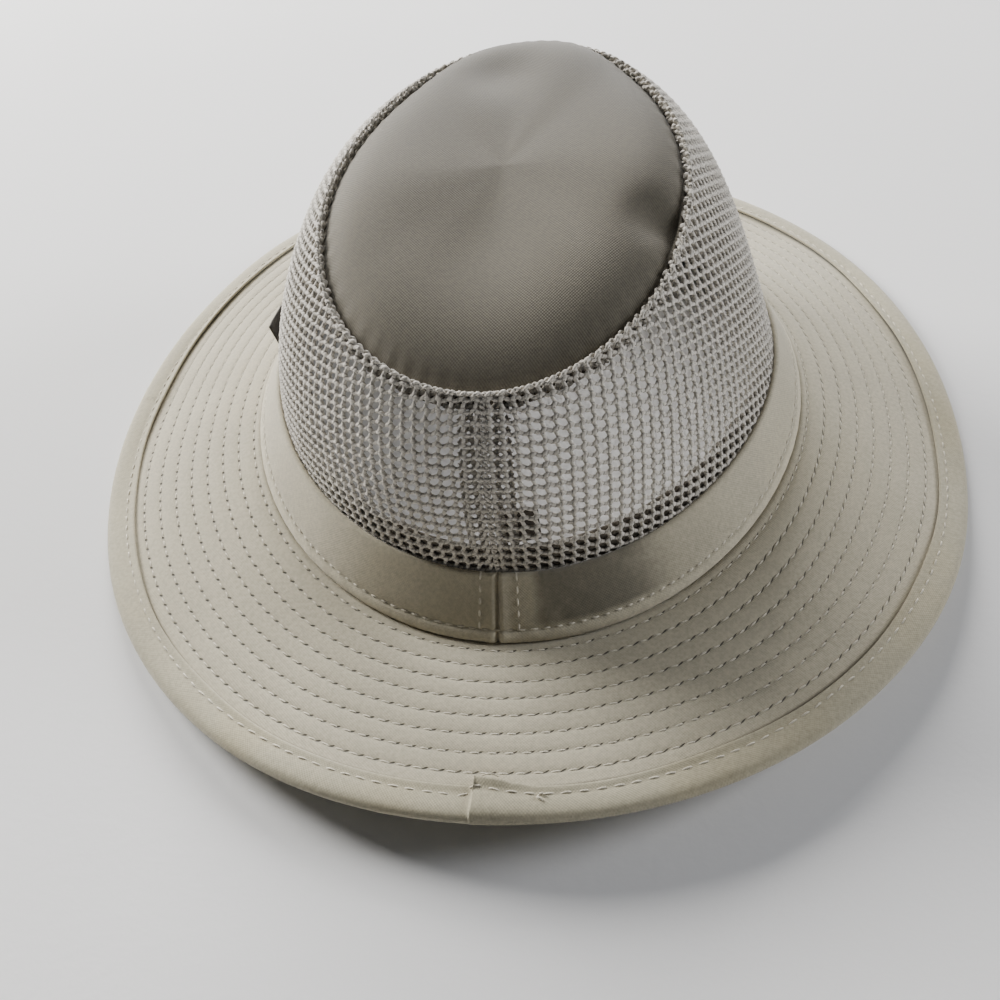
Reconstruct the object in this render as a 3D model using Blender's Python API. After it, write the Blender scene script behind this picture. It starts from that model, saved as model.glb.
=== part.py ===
"""Safari hat with a plain cloth tip, a knitted net crown, a cloth band and a stitched, bound brim.

Metres, +Z up. The hat rests on z = 0 on its drooping brim. Its front faces -Y, the seam at the
back is on +Y, and the wearer's left is +X. Angles go round the hat from the wearer's left, so the
left is 0, the back 90, the right 180 and the front 270 degrees.
"""

import math
from collections import namedtuple

import bpy
from mathutils import Vector

# Foot of the crown, measured outside the band, where it meets the brim
HEAD_WIDTH = 0.1772
HEAD_LENGTH = 0.2108
HEAD_SADDLE = 0.0043        # the foot is this much higher at the sides, and lower front and back
REST_DROP = 0.0090          # from the mean height of the foot down to the brim's resting edge

# Brim and the tape that binds its edge
BRIM_WIDTH = 0.0578
BRIM_THICKNESS = 0.0018
EDGE_THICKNESS = 0.0012     # the cloth is pressed thinner inside the tape
EDGE_TAPER = 0.0040
REST_SOFTNESS = 0.0010      # rounding where the drooping cloth meets what it rests on
BINDING_REACH = 0.0088
BINDING_THICKNESS = 0.0010
BINDING_LIFT = 0.0004       # the tape's upper lip stands off the cloth
LAP_HEIGHT = 0.0009         # extra height where the tape's end laps over its start
LAP_LENGTH = 0.0300
LAP_ANGLE = 89.8
LAP_STEP = 0.35             # degrees that the folded end takes to rise

# Hat band
BAND_HEIGHT = 0.0202
BAND_THICKNESS = 0.0012
BAND_FOLD = 0.0038          # height of the turned fold along the band's lower edge
FOLD_DEPTH = 0.0003
SEAM_DEPTH = 0.0006
SEAM_ANGLE = 90.0
SEAM_HALF_ANGLE = 0.6

# Net wall of the crown and what is sewn inside it
NET_THICKNESS = 0.0010
WALL_SWELL = 0.0078
HEM_HEIGHT = 0.0042
NET_SEAM_WIDTH = 0.0130
SWEATBAND_HEIGHT = 0.0275
SWEATBAND_THICKNESS = 0.0016

# Tip of the crown
TIP_WIDTH = 0.1000
TIP_LENGTH = 0.1416
TIP_TAPER_RATIO = 0.13      # how much narrower the tip is in front, and wider behind
TIP_SHIFT_LEFT = 0.0020
TIP_SHIFT_BACK = 0.0066
TIP_HEIGHT = 0.0800         # mean height of the tip's edge above the foot of the crown
TIP_DOME = 0.0080
TIP_THICKNESS = 0.0012
TIP_RIM = 0.0040            # how far the tip's rim reaches down inside the net

# Small sewn-in pieces, both blank
LABEL_WIDTH = 0.0116
LABEL_HEIGHT = 0.0105
LABEL_THICKNESS = 0.0010
LABEL_GAP = 0.0009          # behind the doubled net, whose facets bow inward a little
LABEL_FROM_SEAM = 0.0096    # from the back seam to the label's middle, to the wearer's right
TAG_ANGLE = 3.0
TAG_WIDTH = 0.0130
TAG_HEIGHT = 0.0100
TAG_THICKNESS = 0.0010
TAG_RISE = 0.0007           # from the band's top edge up to the tag

CLEARANCE = 0.0003          # between pieces that are sewn or lie together
SEAT_REACH = 0.0016         # how far the brim reaches in under the crown's walls
STATIONS = 72

# Round the hat: brim_width is a share of BRIM_WIDTH, brim_drop the fall of the brim for each unit
# of its width, band_lean the band's angle from upright in degrees, tip_height a share of
# TIP_HEIGHT and swell a share of WALL_SWELL.
Round = namedtuple("Round", "at brim_width brim_drop band_lean tip_height swell")
ROUND = (
    Round(0, 0.945, 0.300, 27.4, 1.004, 0.62),
    Round(45, 0.945, 0.120, 27.6, 0.856, 0.52),
    Round(90, 0.985, -0.105, 29.8, 0.791, 0.69),
    Round(135, 0.965, 0.040, 27.2, 0.910, 0.30),
    Round(180, 0.930, 0.300, 26.5, 1.080, 0.25),
    Round(225, 0.945, 0.190, 33.5, 1.140, 1.40),
    Round(270, 0.990, 0.070, 38.2, 1.119, 2.30),
    Round(315, 0.985, 0.130, 33.5, 1.088, 1.70),
)

# Dents and ridges in the tip: out is the share of the way from its middle to its edge, depth a
# share of TIP_DOME (negative for a ridge) and reach a share of TIP_WIDTH.
Dent = namedtuple("Dent", "at out depth reach")
DENTS = (
    Dent(281, 0.80, 0.42, 0.15),
    Dent(254, 0.74, -0.16, 0.12),
    Dent(158, 0.90, 0.34, 0.07),
    Dent(60, 0.45, 0.10, 0.20),
)

# Rows of points across each piece, as shares of what they divide
BRIM_ROWS = (0.20, 0.43, 0.66)
WALL_ROWS = (0.34, 0.52, 0.70, 0.85)
DOME_ROWS = (0.96, 0.88, 0.76, 0.58, 0.34)

UP = Vector((0.0, 0.0, 1.0))
REST_HEIGHT = EDGE_THICKNESS / 2 + CLEARANCE + BINDING_THICKNESS
FOOT_HEIGHT = REST_HEIGHT + REST_DROP
NET_DEPTH = BAND_THICKNESS + CLEARANCE          # from the band's outer face to the net's
INSIDE_NET = NET_THICKNESS + CLEARANCE          # first free depth behind the net's outer face
INSIDE_HEM = INSIDE_NET + NET_THICKNESS + CLEARANCE
SMALL = 0.02


def clear_scene():
    for item in list(bpy.data.objects):
        bpy.data.objects.remove(item, do_unlink=True)


def read_round(column, at):
    """Smooth value of one column of ROUND at an angle, through its rows in turn."""
    count = len(ROUND)
    place = (at % 360.0) / (360.0 / count)
    row = int(place)
    part = place - row
    before, start, end, after = (
        getattr(ROUND[(row + step) % count], column) for step in (-1, 0, 1, 2)
    )
    rise_start = (end - before) / 2
    rise_end = (after - start) / 2
    return (
        start * (1 + 2 * part) * (1 - part) ** 2
        + rise_start * part * (1 - part) ** 2
        + end * part ** 2 * (3 - 2 * part)
        + rise_end * part ** 2 * (part - 1)
    )


def soft_max(value, floor, softness):
    """The larger of two heights, rounded where they cross and exact away from there."""
    near = max(softness - abs(value - floor), 0.0) / softness
    return max(value, floor) + near * near * softness / 4


def foot_plan(at):
    """Point and outward direction, in plan, of the oval where crown and brim meet."""
    turn = math.radians(at)
    across, along = HEAD_WIDTH / 2, HEAD_LENGTH / 2
    point = Vector((across * math.cos(turn), along * math.sin(turn), 0.0))
    outward = Vector((along * math.cos(turn), across * math.sin(turn), 0.0)).normalized()
    return point, outward


def foot_height(at):
    return FOOT_HEIGHT + HEAD_SADDLE * math.cos(2 * math.radians(at))


def brim_width(at):
    return BRIM_WIDTH * read_round("brim_width", at)


def brim_middle(at, out):
    """Point of the brim's middle surface at a distance out from the foot of the crown."""
    point, outward = foot_plan(at)
    drop = read_round("brim_drop", at)
    height = foot_height(at) - out * drop
    level = point + outward * out * math.sqrt(1 - drop * drop)
    return level + UP * soft_max(height, REST_HEIGHT, REST_SOFTNESS)


def slant(at):
    """Foot of the band's outer face, its direction up the slope and its outward normal."""
    outward = foot_plan(at)[1]
    lean = math.radians(read_round("band_lean", at))
    foot = brim_middle(at, 0.0) + UP * (BRIM_THICKNESS / 2 + CLEARANCE)
    upward = UP * math.cos(lean) - outward * math.sin(lean)
    normal = outward * math.cos(lean) + UP * math.sin(lean)
    return foot, upward, normal


def tip_edge(at):
    """Top edge of the net's outer face, just outside the edge of the tip."""
    turn = math.radians(at)
    half_width = TIP_WIDTH / 2 * (1 + TIP_TAPER_RATIO * math.sin(turn)) + INSIDE_NET
    half_length = TIP_LENGTH / 2 + INSIDE_NET
    return Vector((
        TIP_SHIFT_LEFT + half_width * math.cos(turn),
        TIP_SHIFT_BACK + half_length * math.sin(turn),
        FOOT_HEIGHT + TIP_HEIGHT * read_round("tip_height", at),
    ))


def net_face(at, share):
    """Outer face of the net: share is -1 at the foot, 0 at the band's top and 1 at the tip."""
    foot, upward, normal = slant(at)
    if share <= 0:
        return foot + upward * BAND_HEIGHT * (share + 1) - normal * NET_DEPTH
    low = foot + upward * BAND_HEIGHT - normal * NET_DEPTH
    swell = WALL_SWELL * read_round("swell", at) * 4 * share * (1 - share)
    return low.lerp(tip_edge(at), share) + (foot_plan(at)[1] + UP / 2) * swell


def layer(at, share, depth):
    """Point at a depth behind the net's outer face."""
    round_step = net_face(at + SMALL, share) - net_face(at - SMALL, share)
    rise_step = net_face(at, share + SMALL) - net_face(at, share - SMALL)
    return net_face(at, share) - round_step.cross(rise_step).normalized() * depth


def wall_height(at):
    """Straight distance up the net from the band's top to the tip."""
    return (net_face(at, 1) - net_face(at, 0)).length


def foot_share(at, depth):
    """Share at which a layer stands just clear of the brim's sloping top face."""
    lean = math.radians(read_round("band_lean", at))
    drop = read_round("brim_drop", at)
    total = NET_DEPTH + depth
    steepness = (math.sin(lean) + drop * math.cos(lean)) / (math.cos(lean) - drop * math.sin(lean))
    lift = total * steepness
    return max(lift, 0.0) / BAND_HEIGHT - 1


def sweatband_share(at):
    return (SWEATBAND_HEIGHT - BAND_HEIGHT) / wall_height(at)


def hem_share(at):
    return 1 - HEM_HEIGHT / wall_height(at)


def stations(*extra):
    """Angles round the hat, with closer ones where a seam or a lap needs them."""
    even = [360.0 * step / STATIONS for step in range(STATIONS)]
    seam = [SEAM_ANGLE - SEAM_HALF_ANGLE, SEAM_ANGLE, SEAM_ANGLE + SEAM_HALF_ANGLE]
    return sorted(set(even + seam + list(extra)))


def material(name, colour, roughness, metallic=0.0):
    made = bpy.data.materials.new(name)
    made.use_nodes = True
    shader = made.node_tree.nodes["Principled BSDF"]
    shader.inputs["Base Color"].default_value = (*colour, 1.0)
    shader.inputs["Roughness"].default_value = roughness
    shader.inputs["Metallic"].default_value = metallic
    return made


def add_object(name, points, faces, finish):
    mesh = bpy.data.meshes.new(name)
    mesh.from_pydata(points, [], faces)
    mesh.materials.append(finish)
    mesh.shade_smooth()
    mesh.set_sharp_from_angle(angle=math.radians(40))
    made = bpy.data.objects.new(name, mesh)
    bpy.context.collection.objects.link(made)
    return made


def loop_faces(rings, width, closed):
    """Faces of a tube made of closed sections that run round the hat, counter-clockwise."""
    faces = []
    for ring in range(rings if closed else rings - 1):
        start = ring * width
        following = (ring + 1) % rings * width
        for corner in range(width):
            beside = (corner + 1) % width
            faces.append((start + corner, following + corner, following + beside, start + beside))
    if not closed:
        faces.append(tuple(range(width)))
        faces.append(tuple(reversed(range((rings - 1) * width, rings * width))))
    return faces


def ring_piece(name, angles, section, finish, closed=True):
    """A piece whose section, outer face upward and inner face downward, goes round the hat."""
    sections = [section(at) for at in angles]
    points = [point for row in sections for point in row]
    return add_object(name, points, loop_faces(len(sections), len(sections[0]), closed), finish)


def wall_section(at, shares, outer_depth, inner_depth):
    outer = [layer(at, share, outer_depth) for share in shares]
    inner = [layer(at, share, inner_depth) for share in reversed(shares)]
    return outer + inner


def brim_section(at):
    width = brim_width(at)
    lip = width - BINDING_REACH
    thick = [-SEAT_REACH] + [width * share for share in BRIM_ROWS] + [lip - EDGE_TAPER]
    thin = [lip, width - BINDING_THICKNESS - CLEARANCE]
    over = [brim_middle(at, out) + UP * BRIM_THICKNESS / 2 for out in thick]
    over += [brim_middle(at, out) + UP * EDGE_THICKNESS / 2 for out in thin]
    under = [brim_middle(at, out) - UP * EDGE_THICKNESS / 2 for out in reversed(thin)]
    under += [brim_middle(at, out) - UP * BRIM_THICKNESS / 2 for out in reversed(thick)]
    return under[::-1] + over[::-1]


def lap_height(at):
    """Extra thickness of the binding where its folded end lies over its start."""
    past = LAP_ANGLE - at
    run = HEAD_LENGTH / 2 + BRIM_WIDTH
    distance = math.radians(at - LAP_ANGLE) * run
    if past >= LAP_STEP or distance >= LAP_LENGTH:
        return 0.0
    if past > 0:
        return LAP_HEIGHT * (1 - past / LAP_STEP)
    return LAP_HEIGHT * (1 - distance / LAP_LENGTH)


def binding_section(at):
    width = brim_width(at)
    inner = EDGE_THICKNESS / 2 + CLEARANCE
    outer = inner + BINDING_THICKNESS
    lap = lap_height(at)
    lip = width - BINDING_REACH
    middle = width - BINDING_REACH / 2
    turn = width - BINDING_THICKNESS
    outside = (
        (lip, -outer), (middle, -outer), (turn, -outer), (width, -outer * 0.3),
        (width + lap / 2, outer * 0.3), (turn, outer + lap), (middle, outer + lap),
        (lip, outer + lap + BINDING_LIFT),
    )
    inside = (
        (lip, inner + BINDING_LIFT), (middle, inner), (turn, inner), (turn, -inner), (lip, -inner),
    )
    return [brim_middle(at, out) + UP * rise for out, rise in outside + inside]


def band_section(at):
    """The band's face, stepped in above its turned lower fold and pinched at the back seam."""
    foot, upward, normal = slant(at)
    pinch = SEAM_DEPTH if at == SEAM_ANGLE else 0.0
    inner_foot = BAND_HEIGHT * (foot_share(at, -CLEARANCE) + 1)
    heights = (0.0, BAND_FOLD, BAND_FOLD * 1.2, BAND_HEIGHT)
    depths = (pinch, pinch, pinch + FOLD_DEPTH, pinch + FOLD_DEPTH)
    outer = [foot + upward * rise - normal * depth for rise, depth in zip(heights, depths)]
    inner = [foot + upward * rise - normal * BAND_THICKNESS for rise in (BAND_HEIGHT, inner_foot)]
    return outer + inner


def net_section(at):
    top = hem_share(at)
    low = sweatband_share(at)
    rows = [low + (top - low) * share for share in WALL_ROWS]
    shares = [0.0, low] + rows + [top, 1.0]
    outer = [layer(at, share, 0.0) for share in [foot_share(at, 0.0)] + shares]
    back = shares[::-1] + [foot_share(at, NET_THICKNESS)]
    inner = [layer(at, share, NET_THICKNESS) for share in back]
    return outer + inner


def hem_section(at):
    return wall_section(at, [hem_share(at), 1.0], INSIDE_NET, INSIDE_NET + NET_THICKNESS)


def sweatband_section(at):
    shares = [-1.0, 0.0, sweatband_share(at)]
    return wall_section(at, shares, INSIDE_NET, INSIDE_NET + SWEATBAND_THICKNESS)


def patch(name, middle, half_width, shares, depths, finish):
    """A small flat piece that follows the net's wall, of one width all the way up.

    middle is its place from the back seam or from an angle, as a function of the share.
    """
    columns = []
    for side in (-1, 0, 1):
        angles = [middle(share, side * half_width) for share in shares]
        outer = [layer(at, share, depths[0]) for at, share in zip(angles, shares)]
        inner = [layer(at, share, depths[1]) for at, share in zip(angles, shares)]
        columns.append(outer + inner[::-1])
    points = [point for column in columns for point in column]
    return add_object(name, points, loop_faces(3, len(columns[0]), False), finish)


def from_seam(share, distance):
    """Angle of a point that lies a distance from the back seam, towards the wearer's right."""
    low, high = HEAD_WIDTH / 2, TIP_WIDTH / 2 * (1 + TIP_TAPER_RATIO)
    half_width = low + (high - low) * max(share, 0.0)
    return SEAM_ANGLE + math.degrees(distance / half_width)


def from_label(share, distance):
    """Angle of a point that lies a distance from the label's middle."""
    return from_seam(share, LABEL_FROM_SEAM + distance)


def from_left(share, distance):
    """Angle of a point that lies a distance from the side tag's middle."""
    return TAG_ANGLE + math.degrees(distance / (HEAD_LENGTH / 2))


def net_seam(finish):
    low = sweatband_share(SEAM_ANGLE) + CLEARANCE / wall_height(SEAM_ANGLE)
    top = hem_share(SEAM_ANGLE) - CLEARANCE / wall_height(SEAM_ANGLE)
    shares = [low] + [low + (top - low) * share for share in WALL_ROWS] + [top]
    depths = (INSIDE_NET, INSIDE_NET + NET_THICKNESS)
    patch("net_seam", from_seam, NET_SEAM_WIDTH / 2, shares, depths, finish)


def inner_label(finish):
    """Blank label that stands up from the sweatband, behind the doubled net."""
    at = from_seam(0.0, LABEL_FROM_SEAM)
    height = wall_height(at)
    low = sweatband_share(at) + CLEARANCE / height
    shares = [low, low + LABEL_HEIGHT / 2 / height, low + LABEL_HEIGHT / height]
    front = INSIDE_NET + NET_THICKNESS + LABEL_GAP
    depths = (front, front + LABEL_THICKNESS)
    patch("inner_label", from_label, LABEL_WIDTH / 2, shares, depths, finish)


def side_tag(finish):
    """Blank tab that stands up from the band's top edge, outside the net."""
    height = wall_height(TAG_ANGLE)
    low = TAG_RISE / height
    shares = [low, low + TAG_HEIGHT / 2 / height, low + TAG_HEIGHT / height]
    patch("side_tag", from_left, TAG_WIDTH / 2, shares, (-CLEARANCE - TAG_THICKNESS, -CLEARANCE), finish)


def tip_dent(point, centre, edges):
    """Depth of the dents and ridges at a point of the tip."""
    depth = 0.0
    for dent in DENTS:
        place = centre.lerp(edges(dent.at), dent.out)
        apart = math.hypot(point.x - place.x, point.y - place.y)
        depth += dent.depth * TIP_DOME * math.exp(-(apart / (dent.reach * TIP_WIDTH)) ** 2)
    return depth


def dome_points(base, centre, edges, sink):
    points = []
    for share in DOME_ROWS + (0.0,):
        point = centre.lerp(base, share)
        point.z += TIP_DOME * (1 - share ** 4) - sink
        point.z -= tip_dent(point, centre, edges)
        points.append(point)
    return points


def crown_tip(finish):
    """Domed panel with a rim that reaches down inside the net's folded hem."""
    angles = stations()
    edges = lambda at: layer(at, 1.0, INSIDE_HEM)
    centre = sum((edges(at) for at in angles), Vector()) / len(angles)
    points = []
    for at in angles:
        rim = 1 - TIP_RIM / wall_height(at)
        under = layer(at, 1.0, INSIDE_HEM + TIP_THICKNESS)
        points += [layer(at, rim, INSIDE_HEM), edges(at)]
        points += dome_points(edges(at), centre, edges, 0.0)[:-1]
        points += dome_points(under, centre, edges, TIP_THICKNESS)[-2::-1]
        points += [under, layer(at, rim, INSIDE_HEM + TIP_THICKNESS)]
    width = len(points) // len(angles)
    top = dome_points(edges(0), centre, edges, 0.0)[-1]
    bottom = dome_points(edges(0), centre, edges, TIP_THICKNESS)[-1]
    faces = loop_faces(len(angles), width, True)
    over, below = width // 2 - 1, width // 2
    faces = [face for face in faces if not (face[0] % width == over and face[3] % width == below)]
    top_place, bottom_place = len(points), len(points) + 1
    for ring in range(len(angles)):
        start = ring * width
        following = (ring + 1) % len(angles) * width
        faces.append((start + over, following + over, top_place))
        faces.append((following + below, start + below, bottom_place))
    return add_object("crown_tip", points + [top, bottom], faces, finish)


def centre_on_origin(pieces):
    """Put the middle of the whole hat's box over the origin."""
    corners = [vertex.co for piece in pieces for vertex in piece.data.vertices]
    middle = [
        (min(corner[axis] for corner in corners) + max(corner[axis] for corner in corners)) / 2
        for axis in (0, 1)
    ]
    for piece in pieces:
        piece.location = (-middle[0], -middle[1], 0.0)


def build():
    clear_scene()
    cloth = material("beige cloth", (0.42, 0.38, 0.30), 0.85)
    tape = material("binding tape", (0.46, 0.42, 0.33), 0.80)
    net = material("knitted net", (0.60, 0.54, 0.44), 0.75)
    lining = material("sweatband cloth", (0.20, 0.17, 0.13), 0.90)
    blank = material("plain dark tab", (0.05, 0.04, 0.03), 0.80)

    ring_piece("brim", stations(), brim_section, cloth)
    lap_angles = (LAP_ANGLE - LAP_STEP, LAP_ANGLE)
    ring_piece("brim_binding", stations(*lap_angles), binding_section, tape)
    ring_piece("hat_band", stations(), band_section, cloth)
    ring_piece("crown_net", stations(), net_section, net)
    ring_piece("net_hem", stations(), hem_section, net)
    ring_piece("sweatband", stations(), sweatband_section, lining)
    net_seam(net)
    inner_label(blank)
    side_tag(blank)
    crown_tip(cloth)
    centre_on_origin(bpy.data.objects)


build()
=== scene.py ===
"""Looks of the safari hat: woven cloth, knitted net, stitching and a bound edge.

The front of the hat faces -Y, the seam at the back is on +Y and the wearer's left is +X. Angles
go round the hat in degrees from the wearer's left, so the back is 90 and the front 270.
"""

import math
from collections import namedtuple

import bmesh
import bpy
import numpy as np
from mathutils import Matrix, Vector


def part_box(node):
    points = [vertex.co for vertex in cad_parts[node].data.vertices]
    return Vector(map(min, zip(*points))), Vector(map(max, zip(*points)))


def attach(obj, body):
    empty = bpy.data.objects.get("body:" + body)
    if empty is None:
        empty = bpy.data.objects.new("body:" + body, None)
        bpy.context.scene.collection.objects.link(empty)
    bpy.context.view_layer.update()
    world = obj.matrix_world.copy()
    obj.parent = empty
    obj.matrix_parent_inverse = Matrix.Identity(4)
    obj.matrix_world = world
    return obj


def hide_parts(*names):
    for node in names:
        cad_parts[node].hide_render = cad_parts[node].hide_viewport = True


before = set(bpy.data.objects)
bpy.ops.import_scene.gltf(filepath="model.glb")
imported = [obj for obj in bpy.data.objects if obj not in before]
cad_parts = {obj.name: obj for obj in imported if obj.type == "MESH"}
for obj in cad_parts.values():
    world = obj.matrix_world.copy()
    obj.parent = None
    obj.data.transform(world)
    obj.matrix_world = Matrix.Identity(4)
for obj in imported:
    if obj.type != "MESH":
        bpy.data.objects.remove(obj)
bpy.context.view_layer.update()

# Sizes of the hat, metres, as the frame has them
HEAD_WIDTH = 0.1772
HEAD_LENGTH = 0.2108
HEAD_SADDLE = 0.0043
REST_DROP = 0.0090
BRIM_WIDTH = 0.0578
BRIM_THICKNESS = 0.0018
EDGE_THICKNESS = 0.0012
REST_SOFTNESS = 0.0010
BINDING_REACH = 0.0088
BINDING_THICKNESS = 0.0010
LAP_ANGLE = 89.8
LAP_LENGTH = 0.0300
LAP_RISE = 0.0009  # extra height where the tape's end laps over its start
LAP_STEP = 0.25  # degrees that the folded end takes to rise
LAP_CORNER_REACH = 0.0024  # the corner of the folded end comes this much further in
LAP_CORNER_LENGTH = 0.0170
LEFT_REACH = 0.0005  # the tape is this much wider at the wearer's left
LIP_LIFT = 0.00026  # how far the tape's lip stands off the brim
LIP_FLARE = 0.0008
LIP_GATHER = 0.00030
BAND_HEIGHT = 0.0202
BAND_THICKNESS = 0.0012
BAND_FOLD = 0.0038
SEAM_ANGLE = 90.0
NET_THICKNESS = 0.0010
WALL_SWELL = 0.0078
HEM_HEIGHT = 0.0042
NET_SEAM_WIDTH = 0.0130
SWEATBAND_HEIGHT = 0.0275
SWEATBAND_THICKNESS = 0.0016
TIP_WIDTH = 0.1000
TIP_LENGTH = 0.1416
TIP_TAPER_RATIO = 0.13
TIP_SHIFT_LEFT = 0.0020
TIP_SHIFT_BACK = 0.0066
TIP_HEIGHT = 0.0800
TIP_DOME = 0.0080
TIP_RIM = 0.0040
FRONT_ROLL = 0.0026  # how far the tip's cloth rolls over the net's edge in front
DOME_FULLNESS = 7
LABEL_WIDTH = 0.0116
LABEL_HEIGHT = 0.0105
LABEL_FROM_SEAM = 0.0096
LABEL_GAP = 0.0009
TAG_ANGLE = 3.0
TAG_WIDTH = 0.0130
TAG_HEIGHT = 0.0100
TAG_RISE = 0.0007
CLEARANCE = 0.0003

# brim_width, tip_height and swell are shares of the sizes above, band_lean is in degrees from
# upright, and brim_drop is the brim's fall for each unit of its width
Round = namedtuple("Round", "at brim_width brim_drop band_lean tip_height swell")
ROUND = (
    Round(0, 0.945, 0.300, 27.4, 1.004, 0.62),
    Round(45, 0.945, 0.120, 27.6, 0.856, 0.52),
    Round(90, 0.985, -0.105, 29.8, 0.791, 0.69),
    Round(135, 0.965, 0.040, 27.2, 0.910, 0.30),
    Round(180, 0.930, 0.300, 26.5, 1.080, 0.25),
    Round(225, 0.945, 0.190, 33.5, 1.140, 1.40),
    Round(270, 0.990, 0.070, 38.2, 1.119, 2.30),
    Round(315, 0.985, 0.130, 33.5, 1.088, 1.70),
)

# Dents of the tip: shares of the way to its edge, of TIP_DOME (below 0 for a ridge) and of its width
Dent = namedtuple("Dent", "at out depth reach")
DENTS = (
    Dent(281, 0.68, 0.36, 0.14),
    Dent(254, 0.74, -0.08, 0.14),
    Dent(158, 0.90, 0.38, 0.07),
    Dent(60, 0.45, 0.10, 0.20),
)

# Stitching: the brim has eight rows of it, then one more near the lip of the binding
ROW_COUNT = 8
FIRST_ROW = 0.0027
ROW_SPACE = 0.0059
STITCH_PITCH = 0.0043
STITCH_LENGTH = 0.0030
THREAD_RADIUS = 0.00026
ROW_GROOVE = 0.00024
ROW_PUFF = 0.00010
ROW_GROOVE_WIDTH = 0.00055
ROW_WANDER = 0.00055
ROW_CUTS = (-0.14, -0.06, 0.0, 0.06, 0.14, 0.33, 0.62)  # rows of points by each row of stitches
BRIM_PUCKER = 0.00006  # height of the puckers between stitches, and how many go round
BRIM_PUCKERS = 236
BRIM_WAVE = 0.00035
BINDING_ROW = 0.0022  # from the binding's lip out to its stitches
BAND_SEAM_ROWS = (-0.0052, 0.0060)
BAND_STITCHES = {"Pitch": 0.0034, "Length": 0.0024, "Thread Radius": 0.00034}

# Band, from its foot up: height, and how far the face stands proud there
BAND_PROFILE = (
    (0.0, -0.0004), (0.0005, 0.0003), (0.0016, 0.00052), (0.0027, 0.00045), (0.0033, 0.00018),
    (0.0037, -0.00030), (0.0041, -0.0002), (0.0048, 0.00006), (0.0065, 0.00012), (0.0095, 0.00004),
    (0.0130, 0.0), (0.0165, 0.0), (0.0190, 0.0002), (0.0198, 0.0001), (BAND_HEIGHT, -0.0005),
)

# Binding: share of its reach from the lip, share of its outer height, and on top of the lip's lift
TAPE_TOP = (
    (0.0, 1.0, 1.0), (0.06, 1.0, 0.75), (0.16, 1.0, 0.32), (0.24, 0.90, 0.05), (0.32, 1.0, 0.0),
    (0.50, 1.06, 0.0), (0.68, 1.04, 0.0), (0.82, 0.92, 0.0), (0.92, 0.70, 0.0), (0.98, 0.36, 0.0),
)
TAPE_UNDER = (
    (0.0, 0.92), (0.10, 1.0), (0.24, 0.94), (0.34, 1.0), (0.60, 1.0), (0.80, 1.0), (0.93, 0.80),
    (0.99, 0.40),
)

# Net
COLUMN_PITCH = 0.00325
ROW_PITCH = 0.0030
COLUMN_RADIUS = 0.00056
ROW_RADIUS = 0.00054
KNOT_RADIUS = 0.00074
EDGE_RADIUS = 0.00040
STEPS = 4  # points in each cell of the net
YARN_TWIST = 0.0016
MEAN_WALL = 0.0620  # height of the wall laid out flat
FOLD_SHIFT = (0.45, 0.4)  # cells by which the folded net lies beside the outer one

STATIONS = 420
TIP_STATIONS = 300
TIP_RINGS = 58
TIP_SHELL = 0.0011
TAB_HALF = 0.00022  # half the thickness of a tab's edge

REST_HEIGHT = EDGE_THICKNESS / 2 + CLEARANCE + BINDING_THICKNESS
FOOT_HEIGHT = REST_HEIGHT + REST_DROP
NET_DEPTH = BAND_THICKNESS + CLEARANCE
INSIDE_NET = NET_THICKNESS + CLEARANCE
INSIDE_HEM = INSIDE_NET + NET_THICKNESS + CLEARANCE
UP = np.array((0.0, 0.0, 1.0))

band_low, band_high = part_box("hat_band")
MIDDLE = np.array(((band_low[0] + band_high[0]) / 2, (band_low[1] + band_high[1]) / 2, 0.0))


# Shape of the hat

def read_round(column, at):
    """Smooth value of one column of ROUND at one angle or at many."""
    values = np.array([getattr(row, column) for row in ROUND])
    count = len(values)
    place = (np.asarray(at, float) % 360.0) / (360.0 / count)
    row = np.floor(place).astype(int)
    part = place - row
    before, start, end, after = (values[(row + step) % count] for step in (-1, 0, 1, 2))
    return (
        start * (1 + 2 * part) * (1 - part) ** 2
        + (end - before) / 2 * part * (1 - part) ** 2
        + end * part ** 2 * (3 - 2 * part)
        + (after - start) / 2 * part ** 2 * (part - 1)
    )


def soft_max(value, floor, softness):
    near = np.maximum(softness - np.abs(value - floor), 0.0) / softness
    return np.maximum(value, floor) + near * near * softness / 4


def stack(*parts):
    return np.stack(np.broadcast_arrays(*parts), axis=-1)


def unit(vectors):
    return vectors / np.linalg.norm(vectors, axis=-1, keepdims=True)


def foot_plan(at):
    """Foot of the crown seen from above, and the way straight out from it."""
    turn = np.radians(at)
    across, along = HEAD_WIDTH / 2, HEAD_LENGTH / 2
    point = stack(across * np.cos(turn), along * np.sin(turn), 0.0)
    outward = unit(stack(along * np.cos(turn), across * np.sin(turn), 0.0))
    return point, outward


def brim_width(at):
    """Width of the brim from the foot of the crown to its edge."""
    return BRIM_WIDTH * read_round("brim_width", at)


def brim_middle(at, out):
    """Middle of the brim's cloth at a distance out from the crown."""
    point, outward = foot_plan(at)
    drop = read_round("brim_drop", at)
    height = FOOT_HEIGHT + HEAD_SADDLE * np.cos(2 * np.radians(at)) - out * drop
    level = point + outward * np.asarray(out * np.sqrt(1 - drop * drop))[..., None]
    return level + UP * soft_max(height, REST_HEIGHT, REST_SOFTNESS)[..., None] + MIDDLE


def slant(at):
    """Foot of the band, the way up its face and the way out of it."""
    outward = foot_plan(at)[1]
    lean = np.radians(read_round("band_lean", at))[..., None]
    foot = brim_middle(at, np.zeros_like(np.asarray(at, float)))
    foot = foot + UP * (BRIM_THICKNESS / 2 + CLEARANCE)
    upward = UP * np.cos(lean) - outward * np.sin(lean)
    normal = outward * np.cos(lean) + UP * np.sin(lean)
    return foot, upward, normal


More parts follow.
